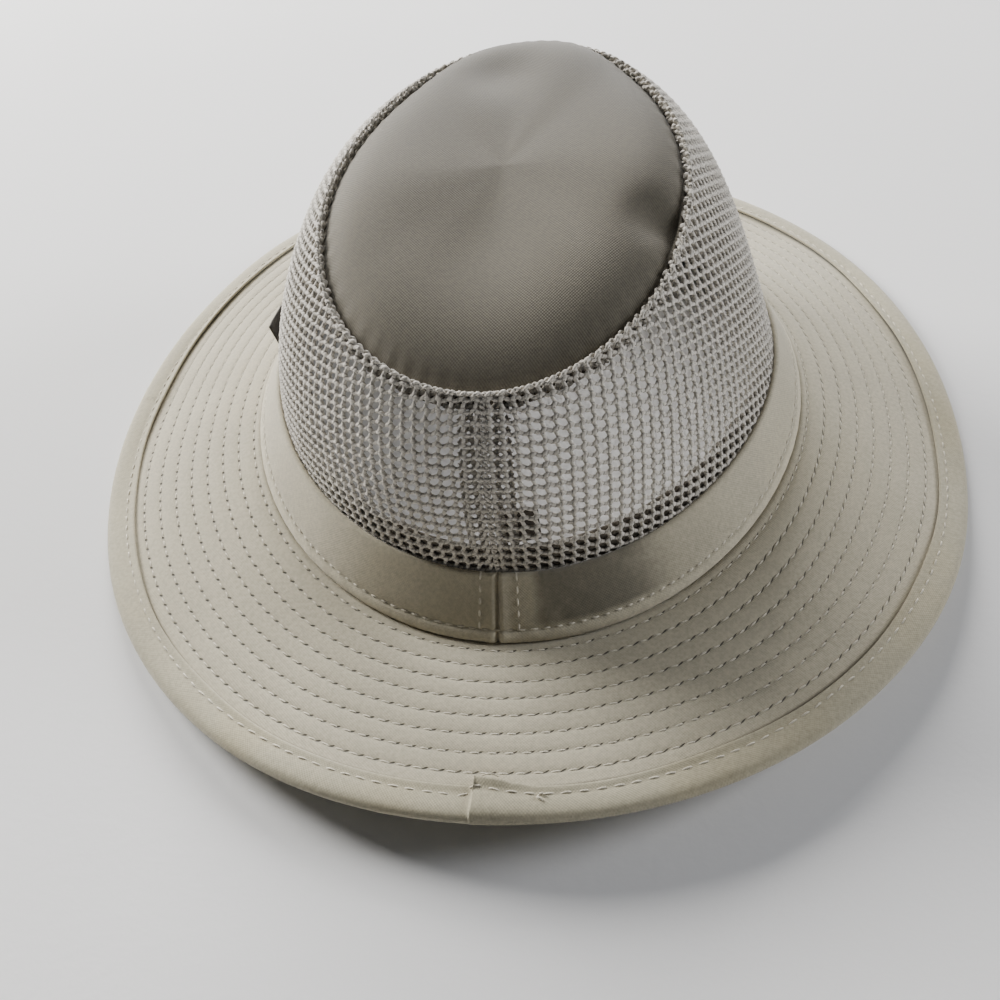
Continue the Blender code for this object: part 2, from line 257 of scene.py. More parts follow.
def tip_edge(at):
    turn = np.radians(at)
    half_width = TIP_WIDTH / 2 * (1 + TIP_TAPER_RATIO * np.sin(turn)) + INSIDE_NET
    half_length = TIP_LENGTH / 2 + INSIDE_NET
    return MIDDLE + stack(
        TIP_SHIFT_LEFT + half_width * np.cos(turn),
        TIP_SHIFT_BACK + half_length * np.sin(turn),
        FOOT_HEIGHT + TIP_HEIGHT * read_round("tip_height", at),
    )


def net_face(at, share):
    """Outer face of the net: share is -1 at the foot, 0 at the band's top and 1 at the tip."""
    at, share = np.broadcast_arrays(np.asarray(at, float), np.asarray(share, float))
    foot, upward, normal = slant(at)
    low = foot + upward * BAND_HEIGHT - normal * NET_DEPTH
    below = low + upward * (BAND_HEIGHT * share)[..., None]
    swell = WALL_SWELL * read_round("swell", at) * 4 * share * (1 - share)
    above = low + (tip_edge(at) - low) * share[..., None]
    above = above + (foot_plan(at)[1] + UP / 2) * swell[..., None]
    return np.where((share <= 0)[..., None], below, above)


def wall_normal(at, share):
    small = 0.02
    round_step = net_face(at + small, share) - net_face(at - small, share)
    rise_step = net_face(at, share + small) - net_face(at, share - small)
    return unit(np.cross(round_step, rise_step))


def layer(at, share, depth):
    """A face inside the net's outer one, at a depth below it."""
    values = (np.asarray(value, float) for value in (at, share, depth))
    at, share, depth = np.broadcast_arrays(*values)
    return net_face(at, share) - wall_normal(at, share) * depth[..., None]


def wall_height(at):
    return np.linalg.norm(net_face(at, 1.0) - net_face(at, 0.0), axis=-1)


def foot_share(at, depth):
    """Where a face at a depth inside the wall meets the brim, as a share for net_face."""
    lean = np.radians(read_round("band_lean", at))
    drop = read_round("brim_drop", at)
    total = NET_DEPTH + depth
    lift = total * (np.sin(lean) + drop * np.cos(lean)) / (np.cos(lean) - drop * np.sin(lean))
    return np.maximum(lift, 0.0) / BAND_HEIGHT - 1


def even_angles(count):
    return np.arange(count) * 360.0 / count


def full_turn():
    """Angles of a path that comes back to where it starts."""
    return np.append(even_angles(STATIONS), 360.0)


def arc_length(points):
    """Distance along a row of points from its first one."""
    steps = np.linalg.norm(np.diff(points, axis=0), axis=-1)
    return np.concatenate(([0.0], np.cumsum(steps)))


def ripple(at, seed, waves, height):
    """A gentle unevenness that runs round the hat and meets itself."""
    chance = np.random.default_rng(seed)
    total = np.zeros_like(np.asarray(at, float))
    for turns in waves:
        wave = np.radians(at) * turns
        total = total + chance.normal() * np.sin(wave + chance.uniform(0, 2 * math.pi))
    return total * height / math.sqrt(len(waves))


# Meshes

def add_mesh(name, points, faces, uvs=None, smooth=True):
    """uvs is a dict of map name to one (u, v) for each point."""
    mesh = bpy.data.meshes.new(name)
    mesh.from_pydata(np.asarray(points).reshape(-1, 3).tolist(), [], faces)
    corner_points = np.empty(len(mesh.loops), dtype=np.int32)
    mesh.loops.foreach_get("vertex_index", corner_points)
    for title, values in (uvs or {}).items():
        made = mesh.uv_layers.new(name=title)
        made.data.foreach_set("uv", np.asarray(values, float).reshape(-1, 2)[corner_points].ravel())
    if smooth:
        mesh.shade_smooth()
    piece = bpy.data.objects.new(name, mesh)
    bpy.context.collection.objects.link(piece)
    return piece


def tube_faces(rings, width, closed_round, closed_section):
    """Quads of sections that follow each other counter-clockwise round the hat."""
    ring = np.arange(rings if closed_round else rings - 1)
    corner = np.arange(width if closed_section else width - 1)
    start = ring[:, None] * width
    following = (ring[:, None] + 1) % rings * width
    beside = (corner + 1) % width
    corners = (start + corner, following + corner, following + beside, start + beside)
    return stack(*corners).reshape(-1, 4).tolist()


def ring_mesh(name, sections, uvs=None):
    """sections is an array of stations by section points by 3."""
    rings, width = sections.shape[:2]
    return add_mesh(name, sections, tube_faces(rings, width, True, True), uvs)


def finish_piece(piece, node_names, finish=None):
    if finish is not None:
        piece.data.materials.clear()
        piece.data.materials.append(finish)
    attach(piece, "root")
    if node_names:
        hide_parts(*node_names)


# Geometry Nodes

def new_tree(name, sizes):
    """A node tree with a mesh going in and out, and named number inputs with their values."""
    tree = bpy.data.node_groups.new(name, "GeometryNodeTree")
    tree.interface.new_socket("Geometry", in_out="INPUT", socket_type="NodeSocketGeometry")
    for title, value in sizes.items():
        kind = "NodeSocketInt" if isinstance(value, int) else "NodeSocketFloat"
        socket = tree.interface.new_socket(title, in_out="INPUT", socket_type=kind)
        socket.default_value = value
    tree.interface.new_socket("Geometry", in_out="OUTPUT", socket_type="NodeSocketGeometry")
    return tree


def put(tree, kind, settings=None, feeds=None):
    """Adds a node. feeds maps an input's name or number to a socket or a value."""
    made = tree.nodes.new(kind)
    for key, value in (settings or {}).items():
        setattr(made, key, value)
    feed(tree, made, feeds or {})
    return made


def feed(tree, node, feeds):
    for key, value in feeds.items():
        value = value.outputs[0] if isinstance(value, bpy.types.Node) else value
        if isinstance(value, bpy.types.NodeSocket):
            tree.links.new(value, node.inputs[key])
        else:
            node.inputs[key].default_value = value


def named_field(tree, title, kind):
    node = put(tree, "GeometryNodeInputNamedAttribute", {"data_type": kind}, {"Name": title})
    return node.outputs["Attribute"]


def times(tree, socket, factor):
    return put(tree, "ShaderNodeMath", {"operation": "MULTIPLY"}, {0: socket, 1: factor}).outputs[0]


def stitch_tree():
    """Threads laid end to end along paths, each a short bowed tube with a slight lean."""
    sizes = {"Pitch": STITCH_PITCH, "Length": STITCH_LENGTH, "Thread Radius": THREAD_RADIUS, "Seed": 4}
    tree = new_tree("stitches", sizes)
    given = tree.nodes.new("NodeGroupInput").outputs
    paths = put(tree, "GeometryNodeMeshToCurve", feeds={"Mesh": given["Geometry"]})
    spaced = put(
        tree, "GeometryNodeResampleCurve", {"mode": "LENGTH"},
        {"Curve": paths, "Length": given["Pitch"]},
    )
    half = times(tree, given["Length"], 0.5)
    back = times(tree, half, -1.0)
    sunk = times(tree, given["Thread Radius"], -1.6)
    proud = times(tree, given["Thread Radius"], 2.2)
    first = put(tree, "ShaderNodeCombineXYZ", feeds={"X": back, "Z": sunk})
    crest = put(tree, "ShaderNodeCombineXYZ", feeds={"Z": proud})
    last = put(tree, "ShaderNodeCombineXYZ", feeds={"X": half, "Z": sunk})
    bow = put(
        tree, "GeometryNodeCurveQuadraticBezier",
        feeds={"Resolution": 6, "Start": first, "Middle": crest, "End": last},
    )
    section = put(
        tree, "GeometryNodeCurvePrimitiveCircle", {"mode": "RADIUS"},
        {"Resolution": 5, "Radius": given["Thread Radius"]},
    )
    thread = put(
        tree, "GeometryNodeCurveToMesh",
        feeds={"Curve": bow, "Profile Curve": section, "Fill Caps": True},
    )
    tangent = tree.nodes.new("GeometryNodeInputTangent").outputs[0]
    facing = put(
        tree, "FunctionNodeAxesToRotation", {"primary_axis": "Z", "secondary_axis": "X"},
        {"Primary Axis": named_field(tree, "facing", "FLOAT_VECTOR"), "Secondary Axis": tangent},
    )
    lean = put(
        tree, "FunctionNodeRandomValue", {"data_type": "FLOAT_VECTOR"},
        {0: (-0.04, -0.05, -0.10), 1: (0.04, 0.05, 0.10), "Seed": given["Seed"]},
    )
    turned = put(
        tree, "FunctionNodeRotateRotation", {"rotation_space": "LOCAL"},
        {"Rotation": facing, "Rotate By": lean.outputs["Value"]},
    )
    laid = put(
        tree, "GeometryNodeInstanceOnPoints", feeds={"Points": spaced, "Instance": thread, "Rotation": turned},
    )
    return end_tree(tree, laid)


def strand_tree():
    """Round yarn along paths, as thick at each point as the path says."""
    tree = new_tree("yarn", {"Sides": 6})
    given = tree.nodes.new("NodeGroupInput").outputs
    paths = put(tree, "GeometryNodeMeshToCurve", feeds={"Mesh": given["Geometry"]})
    section = put(
        tree, "GeometryNodeCurvePrimitiveCircle", {"mode": "RADIUS"},
        {"Resolution": given["Sides"], "Radius": 1.0},
    )
    along = tree.nodes.new("GeometryNodeSplineParameter").outputs["Length"]
    long_path = put(
        tree, "GeometryNodeStoreNamedAttribute", {"data_type": "FLOAT", "domain": "POINT"},
        {"Geometry": paths, "Name": "along", "Value": along},
    )
    across = tree.nodes.new("GeometryNodeInputPosition").outputs[0]
    round_section = put(
        tree, "GeometryNodeStoreNamedAttribute", {"data_type": "FLOAT_VECTOR", "domain": "POINT"},
        {"Geometry": section, "Name": "around", "Value": across},
    )
    yarn = put(
        tree, "GeometryNodeCurveToMesh",
        feeds={
            "Curve": long_path, "Profile Curve": round_section, "Fill Caps": True,
            "Scale": named_field(tree, "thick", "FLOAT"),
        },
    )
    return end_tree(tree, yarn)


def end_tree(tree, geometry):
    """Makes the result real and smooth, gives it its material and closes the tree."""
    real = put(tree, "GeometryNodeRealizeInstances", feeds={"Geometry": geometry})
    smooth = put(tree, "GeometryNodeSetShadeSmooth", feeds={"Geometry": real})
    painted = put(tree, "GeometryNodeSetMaterial", feeds={"Geometry": smooth})
    painted.name = "paint"
    out = tree.nodes.new("NodeGroupOutput")
    tree.links.new(painted.outputs[0], out.inputs["Geometry"])
    return tree


def grow(name, paths, fields, tree, finish, sizes=None):
    """Runs a tree on paths, each an array of points, and returns the result as a plain mesh.

    fields maps an attribute's name to one array for each path.
    """
    points = np.concatenate(paths)
    edges = []
    start = 0
    for path in paths:
        index = np.arange(start, start + len(path))
        edges.append(np.stack((index[:-1], index[1:]), -1))
        start += len(path)
    mesh = bpy.data.meshes.new(name)
    mesh.from_pydata(points.tolist(), np.concatenate(edges).tolist(), [])
    for title, values in fields.items():
        values = np.concatenate(values)
        kind, key = ("FLOAT_VECTOR", "vector") if values.ndim == 2 else ("FLOAT", "value")
        made = mesh.attributes.new(title, kind, "POINT")
        made.data.foreach_set(key, values.ravel())
    piece = bpy.data.objects.new(name, mesh)
    bpy.context.collection.objects.link(piece)
    tree.nodes["paint"].inputs["Material"].default_value = finish
    modifier = piece.modifiers.new("grow", "NODES")
    modifier.node_group = tree
    for socket in tree.interface.items_tree:
        if socket.in_out == "INPUT" and socket.name in (sizes or {}):
            modifier[socket.identifier] = sizes[socket.name]
    graph = bpy.context.evaluated_depsgraph_get()
    grown = bpy.data.meshes.new_from_object(piece.evaluated_get(graph))
    piece.modifiers.remove(modifier)
    piece.data = grown
    grown.name = name
    grown.materials.clear()
    grown.materials.append(finish)
    grown.polygons.foreach_set("material_index", np.zeros(len(grown.polygons), dtype=np.int32))
    bpy.data.meshes.remove(mesh)
    return piece


# Materials

class Paint:
    """Builds one procedural material node by node."""

    def __init__(self, name):
        self.material = bpy.data.materials.new(name)
        self.material.use_nodes = True
        self.tree = self.material.node_tree
        self.place = self.put("TexCoord").outputs["Object"]

    def put(self, kind, settings=None, feeds=None):
        return put(self.tree, "ShaderNode" + kind, settings, feeds)

    def calc(self, operation, first, second=0.0, third=None):
        feeds = {0: first, 1: second}
        if third is not None:
            feeds[2] = third
        return self.put("Math", {"operation": operation}, feeds).outputs[0]

    def times(self, first, second):
        return self.calc("MULTIPLY", first, second)

    def darken(self, tone, mask, share):
        """Takes a share off the tone where the mask is one."""
        return self.times(tone, self.calc("MULTIPLY_ADD", mask, -share, 1.0))

    def ramp(self, value, low, high, start=0.0, end=1.0):
        settings = {"clamp": True, "interpolation_type": "SMOOTHSTEP"}
        feeds = {"Value": value, "From Min": low, "From Max": high, "To Min": start, "To Max": end}
        return self.put("MapRange", settings, feeds).outputs[0]

    def noise(self, scale, detail=3.0, roughness=0.6):
        feeds = {"Vector": self.place, "Scale": scale, "Detail": detail, "Roughness": roughness}
        return self.put("TexNoise", feeds=feeds).outputs["Fac"]

    def cells(self, scale, settings=None):
        feeds = {"Vector": self.place, "Scale": scale}
        return self.put("TexVoronoi", settings, feeds).outputs["Distance"]

    def uv_parts(self, title):
        """The two numbers of one of the piece's maps."""
        uv = self.put("UVMap", {"uv_map": title}).outputs[0]
        return self.put("SeparateXYZ", feeds={0: uv}).outputs

    def mix(self, kind, factor, first, second):
        """Mixes two colours, each of them a socket or three numbers."""
        first, second = ((*value, 1.0) if isinstance(value, tuple) else value for value in (first, second))
        settings = {"data_type": "RGBA", "blend_type": kind}
        return self.put("Mix", settings, {0: factor, 6: first, 7: second}).outputs[2]

    def bump(self, height, distance, strength=1.0, normal=None):
        feeds = {"Height": height, "Distance": distance, "Strength": strength}
        if normal is not None:
            feeds["Normal"] = normal
        return self.put("Bump", feeds=feeds).outputs[0]

    def close(self, colour, tone, normal, roughness, sheen=0.25):
        """Ends the material: its colour times a grey tone, and its surface."""
        feeds = {
            "Base Color": self.mix("MULTIPLY", 1.0, colour, tone), "Normal": normal, "Roughness": roughness,
            "Specular IOR Level": 0.25, "Sheen Weight": sheen, "Sheen Roughness": 0.55,
        }
        feed(self.tree, self.tree.nodes["Principled BSDF"], feeds)
        return self.material


THREAD_STEP = 0.00085  # one over and one under of the weave
HOLE_LENGTH = 0.00056  # needle holes, along the row and across it
HOLE_WIDTH = 0.00046
LIP_PLACE = ((BRIM_WIDTH - BINDING_REACH) - FIRST_ROW) / ROW_SPACE  # counted in rows of stitches


def woven_cloth(name, colour, weave=0.00006, aged=0.10, rows=None, fold=None, darker_patch=None, painted_shade=None):
    """Cotton cloth: crossed threads, a soft unevenness of dye, needle holes and pressed rows, a darker patch,
    and painted shade.

    weave is the threads' height, rows the spacing of rows of stitches, fold the height of a paler
    turned edge, and the last two the start and end of a darker patch and of a part painted in shade.
    """
    paint = Paint(name)
    along, across = paint.uv_parts("cloth")[:2]
    wander = paint.noise(260.0, 2.0)
    turn = 2 * math.pi / THREAD_STEP
    warp = paint.calc("MULTIPLY_ADD", along, turn, paint.times(wander, 1.6))
    weft = paint.calc("MULTIPLY_ADD", across, turn, paint.times(wander, -1.6))
    crossing = paint.times(paint.calc("SINE", warp), paint.calc("SINE", weft))
    slub = paint.noise(900.0, 3.0, 0.7)
    patch = paint.ramp(paint.noise(42.0, 4.0), 0.30, 0.70, 0.97, 1.03)
    cloud = paint.ramp(paint.noise(11.0, 2.0), 0.35, 0.65, -0.03, 0.02)
    tone = paint.times(paint.calc("ADD", patch, cloud), paint.ramp(slub, 0.25, 0.75, 0.84, 1.12))
    tone = paint.calc("MULTIPLY_ADD", crossing, 0.022, tone)
    if fold:
        tone = paint.times(tone, paint.ramp(across, fold * 0.7, fold, 1.22, 1.0))
    # a patch of the band made darker just past the back seam towards the wearer's right, above the turned fold
    if darker_patch:
        start, end = darker_patch
        blotch = paint.ramp(paint.noise(55.0), 0.05, 0.50)
        within = paint.times(paint.ramp(along, start, start + 0.004), blotch)
        within = paint.times(within, paint.ramp(along, end - 0.018, end, 1.0, 0.0))
        within = paint.times(within, paint.ramp(across, BAND_FOLD, 0.0060))
        tone = paint.darken(tone, within, 0.58)
    # painted shade, darkest at the start of the span across the cloth and gone at its end
    if painted_shade:
        tone = paint.times(tone, paint.ramp(across, *painted_shade, 1.0))
    speck = paint.ramp(paint.cells(95.0), 0.020, 0.055, 1.0, 0.0)
    tone = paint.darken(tone, paint.times(speck, paint.ramp(paint.noise(31.0, 1.0), 0.58, 0.66)), 0.35)
    yellowed = paint.times(paint.ramp(paint.noise(17.0, 3.0), 0.48, 0.72), aged)
    base = paint.mix("MIX", yellowed, colour, (colour[0] * 0.96, colour[1] * 0.88, colour[2] * 0.70))
    height = paint.calc("MULTIPLY_ADD", slub, 0.9, paint.times(crossing, 0.5))
    normal = paint.bump(height, weave, 0.9)
    if rows:
        tone, normal = sew(paint, tone, normal, rows)
    return paint.close(base, tone, normal, paint.ramp(slub, 0.3, 0.7, 0.78, 0.92))


def sew(paint, tone, normal, spacing):
    """Needle holes and a pressed line along each row, with painted shade in them, and painted shade under the
    binding's lip.
    """
    stitch, row = paint.uv_parts("stitch")[:2]
    beside = paint.calc("SUBTRACT", paint.calc("FRACT", paint.calc("ADD", row, 10.5)), 0.5)
    beyond = paint.calc("SUBTRACT", paint.calc("FRACT", stitch), 0.5)
    far = paint.calc("POWER", paint.times(beyond, STITCH_PITCH / HOLE_LENGTH), 2.0)
    wide = paint.calc("POWER", paint.times(beside, spacing / HOLE_WIDTH), 2.0)
    past_first = paint.calc("GREATER_THAN", row, -0.4)
    inside = paint.times(past_first, paint.calc("LESS_THAN", row, ROW_COUNT - 0.6))
    hole = paint.times(paint.ramp(paint.calc("ADD", far, wide), 0.35, 1.4, 1.0, 0.0), inside)
    line = paint.times(paint.ramp(wide, 0.0, 2.2, 1.0, 0.0), inside)
    # painted shade in the needle holes and along each row's pressed line
    tone = paint.darken(paint.darken(tone, hole, 0.80), line, 0.10)
    # painted shade under the binding's lip
    tone = paint.darken(tone, paint.ramp(row, LIP_PLACE - 0.30, LIP_PLACE - 0.04), 0.72)
    return tone, paint.bump(paint.times(hole, -1.0), 0.0004, 0.9, normal)


def net_paint(name, colour):
    """Knitting yarn of two twisted strands: a groove winds round it, with painted shade in its bottom."""
    paint = Paint(name)
    along = paint.put("Attribute", {"attribute_name": "along"}).outputs["Fac"]
    around = paint.put("Attribute", {"attribute_name": "around"}).outputs["Vector"]
    sides = paint.put("SeparateXYZ", feeds={0: around}).outputs
    turn = paint.times(along, 2 * math.pi / YARN_TWIST)
    wave = paint.times(paint.calc("SINE", turn), sides[0])
    wave = paint.calc("ADD", wave, paint.times(paint.calc("COSINE", turn), sides[1]))
    groove = paint.ramp(wave, -1.0, -0.2)
    fibre = paint.noise(4200.0, 3.0, 0.7)
    clump = paint.ramp(paint.noise(300.0, 2.0), 0.3, 0.7, 0.90, 1.06)
    tone = paint.times(paint.ramp(fibre, 0.28, 0.72, 0.88, 1.06), clump)
    # painted shade in the groove between the two strands
    tone = paint.times(tone, paint.ramp(groove, 0.0, 1.0, 0.66, 1.04))
    normal = paint.bump(groove, 0.00022, 0.9, paint.bump(fibre, 0.00008, 0.8))
    return paint.close(colour, tone, normal, paint.ramp(fibre, 0.3, 0.7, 0.58, 0.80), 0.3)


def thread_paint(name, colour):
    """Sewing thread: fine filaments and a soft unevenness."""
    paint = Paint(name)
    fibre = paint.noise(5200.0, 3.0, 0.7)
    clump = paint.noise(420.0, 2.0)
    tone = paint.times(paint.ramp(fibre, 0.28, 0.72, 0.86, 1.08), paint.ramp(clump, 0.3, 0.7, 0.94, 1.04))
    normal = paint.bump(clump, 0.0002, 0.5, paint.bump(fibre, 0.00012, 0.8))
    return paint.close(colour, tone, normal, paint.ramp(fibre, 0.3, 0.7, 0.60, 0.80), 0.35)


def terry_paint(name, colour):
    """Looped towelling: small rounded tufts, painted lighter on top and with painted shade between them."""
    paint = Paint(name)
    tuft = paint.cells(1100.0, {"feature": "SMOOTH_F1"})
    patch = paint.ramp(paint.noise(60.0, 3.0), 0.3, 0.7, 0.94, 1.05)
    # painted highlight on each tuft and painted shade between the tufts
    tone = paint.times(paint.ramp(tuft, 0.1, 0.7, 1.10, 0.72), patch)
    normal = paint.bump(paint.times(tuft, -1.0), 0.0004, 0.8)
    return paint.close(colour, tone, normal, 0.92, 0.4)


def floor_paint():
    paint = Paint("pale floor")
    tone = paint.ramp(paint.noise(3.0, 3.0), 0.3, 0.7, 0.98, 1.01)
    normal = paint.bump(paint.noise(300.0, 2.0), 0.0002, 0.3)
    return paint.close(FLOOR, tone, normal, 0.85, 0.0)


CLOTH = (0.465, 0.424, 0.318)
# the tip's cloth, painted far darker than the brim's cloth as shade on the tip
TIP_CLOTH_IN_SHADE = (0.160, 0.143, 0.108)
TAPE = (0.425, 0.389, 0.282)
NET = (0.640, 0.600, 0.530)
THREAD = (0.680, 0.630, 0.510)
SWEAT = (0.240, 0.215, 0.175)
LABEL = (0.115, 0.102, 0.085)
DARK_TAB = (0.036, 0.031, 0.026)
FLOOR = (0.86, 0.86, 0.87)
DARKER_PATCH = (0.1545, 0.200)  # start and end along the band
TIP_FRONT_SHADE = (-0.060, 0.045, 0.52)  # painted shade over the tip's front: start and end across the tip, and the tone at the start


# Brim

def binding_reach(at):
    """How far the binding comes in from the edge: most at the wearer's left, and at its lapped end."""
    wide = LEFT_REACH * np.clip(np.cos(np.radians(np.asarray(at) - 12.0)), 0, 1) ** 1.5
    past = np.radians(at - LAP_ANGLE) * (HEAD_LENGTH / 2 + BRIM_WIDTH)
    corner = LAP_CORNER_REACH * np.clip(1 - past / LAP_CORNER_LENGTH, 0, 1) * (past > -0.0001)
    return BINDING_REACH + wide + corner


def row_out(row, at):
    """Distance out of a row of stitches, which keeps pace with the brim and wanders a little."""
    even = brim_width(at) * (FIRST_ROW + ROW_SPACE * row) / BRIM_WIDTH
    freedom = np.sin(math.pi * np.clip(row / ROW_COUNT, 0, 1))
    return even + ripple(at, 61, (2, 3, 5, 7), ROW_WANDER) * freedom


def brim_rise(at, row_place):
    """Relief of the sewn brim: a groove along each row and a soft roll between rows."""
    near = row_place - np.round(row_place)
    inside = (np.round(row_place) >= 0) & (np.round(row_place) < ROW_COUNT)
    groove = np.exp(-(near * ROW_SPACE / ROW_GROOVE_WIDTH) ** 2) * inside
    roll = ROW_PUFF * (0.5 - 0.5 * np.cos(2 * math.pi * row_place))
    lag = 3.0 * np.sin(row_place * 2.1)
    pucker = BRIM_PUCKER * np.sin(np.radians(at) * BRIM_PUCKERS + lag) * (1 - groove)
    slow = ripple(at, 11, (2, 3, 5, 7, 11), BRIM_WAVE) * np.clip(row_place / ROW_COUNT, 0, 1)
    return roll - ROW_GROOVE * groove + pucker + slow


def brim_piece(finish):
    places = [-0.62] + [row + cut for row in range(ROW_COUNT) for cut in ROW_CUTS]
    last_place = ((BRIM_WIDTH - BINDING_THICKNESS - CLEARANCE) - FIRST_ROW) / ROW_SPACE
    places = [place for place in places if place < LIP_PLACE]
    places = np.array(places + [LIP_PLACE, LIP_PLACE + 0.12, LIP_PLACE + 0.5, last_place])
    at, places_at = np.broadcast_arrays(even_angles(STATIONS)[:, None], places)
    thick = np.where(places < LIP_PLACE + 0.1, BRIM_THICKNESS, EDGE_THICKNESS) / 2
    rise = brim_rise(at, places_at) * (places < LIP_PLACE - 0.1)
    middle = brim_middle(at, row_out(places, at))
    top = middle + UP * (thick + np.minimum(rise, 0.00028))[..., None]
    under = middle - UP * (thick - np.minimum(rise, 0.0) * 0.6)[..., None]
    sections = np.concatenate((under, top[:, ::-1]), axis=1)
    steps = [arc_length(np.concatenate((row, row[:1])))[:-1] for row in np.swapaxes(top, 0, 1)]
    stitch = stack(np.array(steps).T / STITCH_PITCH, places_at)
    both = np.concatenate((stitch, stitch[:, ::-1]), axis=1)
    piece = ring_mesh("brim_cloth", sections, {"cloth": sections[..., :2], "stitch": both})
    finish_piece(piece, ["brim"], finish)


def brim_stitches(finish):
    """Eight rows of lockstitch on the brim, seen from above and below."""
    at = full_turn()
    for side, name in ((1, "brim_stitches_top"), (-1, "brim_stitches_under")):
        paths, facing = [], []
        for row in range(ROW_COUNT):
            place = np.full_like(at, row)
            rise = BRIM_THICKNESS / 2 + (brim_rise(at, place) if side > 0 else np.zeros_like(at))
            paths.append(brim_middle(at, row_out(row, at)) + UP * (side * rise)[:, None])
            facing.append(np.broadcast_to(UP * side, paths[-1].shape))
        piece = grow(name, paths, {"facing": facing}, stitch_tree(), finish)
        finish_piece(piece, [])


# Binding

def lap_height(at):
    """Extra thickness of the binding past its folded end, which lies over its start."""
    past = LAP_ANGLE - at
    distance = np.radians(at - LAP_ANGLE) * (HEAD_LENGTH / 2 + BRIM_WIDTH)
    rise = np.clip(1 - past / LAP_STEP, 0, 1) * LAP_RISE
    fall = np.clip(1 - distance / LAP_LENGTH, 0, 1) * LAP_RISE
    return np.where(past > 0, rise, fall)


def binding_piece(finish):
    near_lap = LAP_ANGLE + np.array((-0.28, -0.20, -0.12, -0.05, 0.0, 0.08))
    angles = np.sort(np.concatenate((even_angles(STATIONS), near_lap)))
    past = angles - LAP_ANGLE
    lap = lap_height(angles)
    inner = EDGE_THICKNESS / 2 + CLEARANCE
    outer = inner + BINDING_THICKNESS
    width = brim_width(angles)
    reach = binding_reach(angles)
    gather = LIP_GATHER * np.clip(1 - np.abs(past - 3.0) / 3.0, 0, 1) * np.sin(past * 4.6)
    lift = LIP_LIFT + ripple(angles, 5, (3, 4, 7, 9, 13, 17), 0.00018)
    flare = LIP_FLARE * np.exp(-((past - 1.5) / 2.2) ** 2) * (past >= -0.1)
    lift = np.clip(lift + flare, 0.00005, 0.0016)
    waver = ripple(angles, 8, (5, 8, 12, 19), 0.00018)

    # each row has its share of the tape's reach, its distance out and its height
    rows = []
    for share, high, lifted in reversed(TAPE_TOP):
        out = width - reach * (1 - share) + waver * (share < 0.3)
        fold = gather * max(0.0, 1 - share / 0.45)
        rows.append((share, out, outer * high + lap * min(1.0, high) + lift * lifted + fold))
    rows.append((-0.03, width - reach + waver - 0.00025, outer * 0.78 + lap + lift + gather))
    for share, lifted in ((0.02, 1.0), (0.30, 0.15), (0.86, 0.0)):
        out = width - reach * (1 - share) + waver * (share < 0.3)
        rows.append((share, out, inner + lift * lifted))
    under = [(0.86, inner), (0.02, inner)] + [(share, outer * high) for share, high in TAPE_UNDER]
    for share, depth in under:
        rows.append((share, width - BINDING_REACH * (1 - share), np.full_like(lap, -depth)))
    rows.append((1.02, width + 0.0001 + lap / 2, np.zeros_like(lap)))
    rows.reverse()
    points = np.stack([brim_middle(angles, out) + UP * high[:, None] for _, out, high in rows], axis=1)
    points[..., 2] = np.maximum(points[..., 2], 0.0)
    cross = np.array([share for share, _, _ in rows]) * BINDING_REACH
    round_length = arc_length(brim_middle(angles, width))
    cloth = stack(round_length[:, None], cross)
    piece = ring_mesh("edge_binding", points, {"cloth": cloth})
    fix_normals(piece)
    finish_piece(piece, ["brim_binding"], finish)


def fix_normals(piece):
    """Turns every face of a closed mesh outwards."""
    work = bmesh.new()
    work.from_mesh(piece.data)
    bmesh.ops.recalc_face_normals(work, faces=work.faces)
    work.to_mesh(piece.data)
    work.free()


def binding_stitches(finish):
    at = full_turn()
    out = brim_width(at) - binding_reach(at) + BINDING_ROW + ripple(at, 21, (7, 11, 15, 23), 0.00012)
    outer = EDGE_THICKNESS / 2 + CLEARANCE + BINDING_THICKNESS
    for side, name in ((1, "binding_stitches_top"), (-1, "binding_stitches_under")):
        rise = outer * 0.97 + (lap_height(at) if side > 0 else 0)
        points = brim_middle(at, out) + UP * (side * rise * np.ones_like(at))[:, None]
        if side < 0:
            points[:, 2] = np.maximum(points[:, 2], THREAD_RADIUS * 1.2)
        facing = [np.broadcast_to(UP * side, points.shape)]
        piece = grow(name, [points], {"facing": facing}, stitch_tree(), finish)
        for vertex in piece.data.vertices:
            vertex.co.z = max(vertex.co.z, 0.0)
        finish_piece(piece, [])


def loose_threads(finish):
    """A knot in the binding's stitches and a thread end at the corner of the lap."""
    outer = EDGE_THICKNESS / 2 + CLEARANCE + BINDING_THICKNESS
    turn = np.linspace(0, 1, 25)
    knot_at, knot_out = 96.0, brim_width(96.0) - binding_reach(96.0) + 0.0030
    at = knot_at + 0.30 * np.sin(turn * 9.0) * (1 - 0.6 * turn)
    out = knot_out + 0.0011 * (turn - 0.5) * 2 + 0.0003 * np.cos(turn * 9.0)
    knot = brim_middle(at, out) + UP * (outer + 0.0006 + 0.0004 * np.sin(turn * 12.0))[:, None]
    at = LAP_ANGLE + 0.2 + 2.1 * turn
    out = brim_width(at) - binding_reach(LAP_ANGLE + 0.1) - 0.0004 - 0.0006 * np.sin(turn * 2.6)
    end = brim_middle(at, out) + UP * (outer + 0.0007 + 0.0011 * turn * np.sin(turn * 3.4))[:, None]
    thick = [np.full_like(turn, 0.00030), np.full_like(turn, 0.00020)]
    piece = grow("loose_threads", [knot, end], {"thick": thick}, strand_tree(), finish)
    finish_piece(piece, [])


# Hat band

def band_face(at, rise, proud=0.0):
    foot, upward, normal = slant(at)
    return foot + upward * np.asarray(rise)[..., None] + normal * np.asarray(proud)[..., None]


